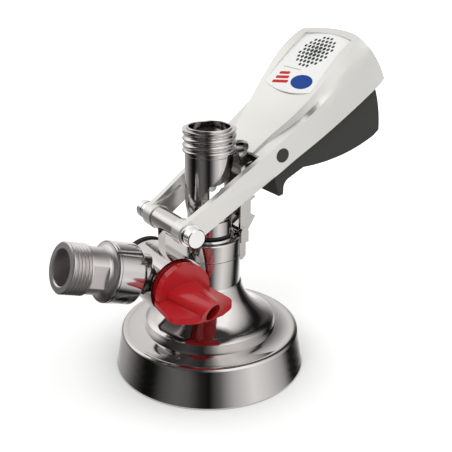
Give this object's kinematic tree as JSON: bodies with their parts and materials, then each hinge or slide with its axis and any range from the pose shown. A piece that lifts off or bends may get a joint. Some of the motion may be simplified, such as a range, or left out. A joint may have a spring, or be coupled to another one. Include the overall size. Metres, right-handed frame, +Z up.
{
  "type": "keg coupler",
  "caption": "Keg coupler: bell skirt and necked body, hinged lever grip with latch trigger, sliding beer probe, winged gas shut-off knob, threaded gas inlet and beer outlet.",
  "frame": {"origin": "centre of the skirt's bottom face, on the probe's axis", "axes": "+Z up along the probe toward the beer outlet, +X toward the grip of the lever, the gas inlet toward -X and the valve knob toward -Y"},
  "size_m": [0.1538, 0.086, 0.1438],
  "materials": {
    "polished_steel": "polished",
    "skirt_steel": "polished",
    "dark_thread": "satin",
    "pin_steel": "polished",
    "lever_metal": "satin",
    "red_plastic": "gloss",
    "black_plastic": "matte",
    "seal_rubber": "matte",
    "label_white": "semi-gloss",
    "spring_steel": "satin",
    "ball_plastic": "gloss"
  },
  "bodies": {
    "housing": {"coupler_body": "polished_steel", "bell_skirt": "skirt_steel", "keg_seal": "seal_rubber", "latch_guide": "polished_steel", "hinge_pin": "pin_steel", "pin_cap": "pin_steel", "hinge_washers": "pin_steel", "check_valve_housing": "polished_steel", "gas_inlet_nipple": "dark_thread", "gas_check_valve": "seal_rubber", "housing_gasket": "seal_rubber", "valve_cap": "black_plastic"},
    "valve": {"valve_stem": "polished_steel", "stem_rings": "seal_rubber", "stem_clip": "spring_steel", "valve_knob": "red_plastic"},
    "probe": {"probe": "polished_steel", "probe_rings": "seal_rubber", "beer_outlet_nipple": "polished_steel", "probe_retainer": "polished_steel", "probe_seal": "seal_rubber", "ball_stop_pin": "spring_steel"},
    "check_ball": {"beer_check_ball": "ball_plastic"},
    "lever": {"lever": "lever_metal", "label_plate": "label_white", "trigger_pin": "pin_steel", "pivot_plugs": "black_plastic", "trigger_spring": "spring_steel"},
    "trigger": {"trigger": "black_plastic"}
  },
  "joints": [
    {"name": "lever_hinge", "type": "hinge", "parent": "housing", "child": "lever", "pos_m": [-0.0197, 0, 0.0706], "axis": [0, 1, 0], "range_deg": [0, 36]},
    {"name": "probe_slide", "type": "slide", "parent": "housing", "child": "probe", "axis": [0, 0, -1], "range_m": [0, 0.009]},
    {"name": "trigger_hinge", "type": "hinge", "parent": "lever", "child": "trigger", "pos_m": [0.02398, 0, 0.09778], "axis": [0, -1, 0], "range_deg": [0, 8], "stiffness_Nm_per_rad": 0.05, "springref_deg": -17.19},
    {"name": "valve_turn", "type": "hinge", "parent": "housing", "child": "valve", "pos_m": [-0.0242, 0, 0.0472], "axis": [0, 1, 0], "range_deg": [0, 90]},
    {"name": "ball_rise", "type": "slide", "parent": "probe", "child": "check_ball", "axis": [0, 0, 1], "range_m": [0, 0.0035]}
  ],
  "couplings": [
    {"joint": "probe_slide", "follows": "lever_hinge", "m_per_rad": 0.014324}
  ]
}
